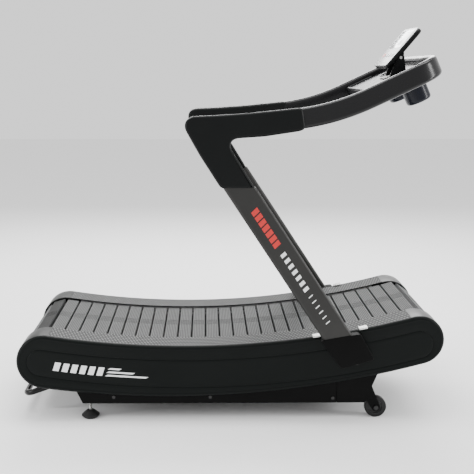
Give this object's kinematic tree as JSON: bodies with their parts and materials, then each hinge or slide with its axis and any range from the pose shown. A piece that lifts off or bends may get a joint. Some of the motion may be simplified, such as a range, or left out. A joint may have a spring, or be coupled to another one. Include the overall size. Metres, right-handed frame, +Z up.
{
  "type": "curved manual treadmill",
  "caption": "Motorless treadmill with a hollow-arc slatted belt, moulded side covers, leaning uprights, a looped handrail with bottle cups and a tilting console.",
  "frame": {"origin": "centre of the machine's footprint on the floor", "axes": "+X towards the console end, +Y to the user's left, +Z up"},
  "size_m": [1.78, 0.816, 1.623],
  "materials": {
    "frame_paint": "satin powder coat",
    "upright_paint": "satin metallic powder coat",
    "cover_plastic": "satin moulded plastic",
    "cap_plastic": "smooth satin moulded plastic",
    "front_cap_plastic": "smooth satin moulded plastic",
    "grip_rubber": "textured matte rubber",
    "slat_aluminium": "extruded, anodised",
    "tread_rubber": "ribbed matte rubber",
    "carrier_rubber": "matte toothed belt",
    "plain_steel": "zinc plated",
    "bearing_steel": "ground",
    "pulley_nylon": "machined",
    "step_aluminium": "extruded",
    "sleeve_rubber": "smooth matte rubber",
    "handrail_paint": "gloss metallic powder coat",
    "tray_plastic": "moulded, satin",
    "cup_plastic": "smooth moulded",
    "console_plastic": "smooth moulded",
    "screen_glass": "gloss",
    "key_plastic": "fine grain",
    "stop_key_plastic": "fine grain",
    "foot_rubber": "matte",
    "wheel_tyre": "matte urethane"
  },
  "bodies": {
    "machine": {"base_frame": "frame_paint", "frame_plates": "frame_paint", "guide_rails": "frame_paint", "guide_bearings": "bearing_steel", "shaft_bearings": "bearing_steel", "rear_lift_handle": "frame_paint", "lower_panels": "frame_paint", "panel_screws": "plain_steel", "side_cover_left": "cover_plastic", "side_cover_right": "cover_plastic", "grip_left": "grip_rubber", "grip_right": "grip_rubber", "step_rails": "step_aluminium", "rear_cap_left": "cap_plastic", "rear_cap_right": "cap_plastic", "front_cap_left": "front_cap_plastic", "front_cap_right": "front_cap_plastic", "upright_left": "upright_paint", "upright_right": "upright_paint", "upright_feet": "frame_paint", "foot_plates": "plain_steel", "upright_bolts": "plain_steel", "elbow_sleeve_left": "sleeve_rubber", "elbow_sleeve_right": "sleeve_rubber", "handrail_arms": "handrail_paint", "handrail_loop": "handrail_paint", "console_tray": "tray_plastic", "bottle_cup_left": "cup_plastic", "bottle_cup_right": "cup_plastic", "console_bracket": "tray_plastic", "console_pin": "plain_steel", "foot_nuts": "plain_steel", "wheel_forks": "frame_paint", "wheel_axles": "plain_steel"},
    "belt_top_run": {"carriers_top": "carrier_rubber", "slats_top": "slat_aluminium", "treads_top": "tread_rubber"},
    "belt_lower_run": {"carriers_bottom": "carrier_rubber", "slats_bottom": "slat_aluminium", "treads_bottom": "tread_rubber"},
    "front_drum": {"front_shaft": "plain_steel", "front_pulleys": "pulley_nylon", "carriers_front": "carrier_rubber", "slats_front": "slat_aluminium", "treads_front": "tread_rubber"},
    "rear_drum": {"rear_shaft": "plain_steel", "rear_pulleys": "pulley_nylon", "carriers_rear": "carrier_rubber", "slats_rear": "slat_aluminium", "treads_rear": "tread_rubber"},
    "console": {"console_housing": "console_plastic", "console_screen": "screen_glass"},
    "up_key": {"button_up": "key_plastic"},
    "down_key": {"button_down": "key_plastic"},
    "start_key": {"button_start": "key_plastic"},
    "stop_key": {"button_stop": "stop_key_plastic"},
    "left_foot": {"foot_pad_left": "foot_rubber"},
    "right_foot": {"foot_pad_right": "foot_rubber"},
    "left_wheel": {"wheel_left": "wheel_tyre"},
    "right_wheel": {"wheel_right": "wheel_tyre"}
  },
  "joints": [
    {"name": "belt_travel", "type": "hinge", "parent": "machine", "child": "belt_top_run", "pos_m": [-0.18, 0, 4.028], "axis": [0, 1, 0], "range_deg": [-0.4676, 0.4676]},
    {"name": "belt_return", "type": "hinge", "parent": "machine", "child": "belt_lower_run", "pos_m": [-0.23325, 0, 4.01982], "axis": [0, 1, 0], "range_deg": [-0.4498, 0.4498]},
    {"name": "front_drum_spin", "type": "hinge", "parent": "machine", "child": "front_drum", "pos_m": [0.786, 0, 0.3518], "axis": [0, 1, 0], "range_deg": [-23.24, 23.24]},
    {"name": "rear_drum_spin", "type": "hinge", "parent": "machine", "child": "rear_drum", "pos_m": [-0.772, 0, 0.26225], "axis": [0, 1, 0], "range_deg": [-20.27, 20.27]},
    {"name": "console_tilt", "type": "hinge", "parent": "machine", "child": "console", "pos_m": [0.728, 0, 1.5], "axis": [0, 1, 0], "range_deg": [-20, 20]},
    {"name": "up_press", "type": "slide", "parent": "console", "child": "up_key", "axis": [0.766, 0, -0.6428], "range_m": [0, 0.001], "stiffness_N_per_m": 2000, "springref_m": -0.0005},
    {"name": "down_press", "type": "slide", "parent": "console", "child": "down_key", "axis": [0.766, 0, -0.6428], "range_m": [0, 0.001], "stiffness_N_per_m": 2000, "springref_m": -0.0005},
    {"name": "start_press", "type": "slide", "parent": "console", "child": "start_key", "axis": [0.766, 0, -0.6428], "range_m": [0, 0.001], "stiffness_N_per_m": 2000, "springref_m": -0.0005},
    {"name": "stop_press", "type": "slide", "parent": "console", "child": "stop_key", "axis": [0.766, 0, -0.6428], "range_m": [0, 0.001], "stiffness_N_per_m": 2000, "springref_m": -0.0005},
    {"name": "left_foot_level", "type": "slide", "parent": "machine", "child": "left_foot", "axis": [0, 0, 1], "range_m": [-0.015, 0.015]},
    {"name": "right_foot_level", "type": "slide", "parent": "machine", "child": "right_foot", "axis": [0, 0, 1], "range_m": [-0.015, 0.015]},
    {"name": "left_wheel_roll", "type": "hinge", "parent": "machine", "child": "left_wheel", "pos_m": [0.621, 0.316, 0.046], "axis": [0, 1, 0], "continuous": true},
    {"name": "right_wheel_roll", "type": "hinge", "parent": "machine", "child": "right_wheel", "pos_m": [0.621, -0.316, 0.046], "axis": [0, 1, 0], "continuous": true}
  ],
  "couplings": [
    {"joint": "belt_return", "follows": "belt_travel", "ratio": -0.95981},
    {"joint": "front_drum_spin", "follows": "belt_travel", "ratio": -49.68},
    {"joint": "rear_drum_spin", "follows": "belt_travel", "ratio": -43.326}
  ]
}
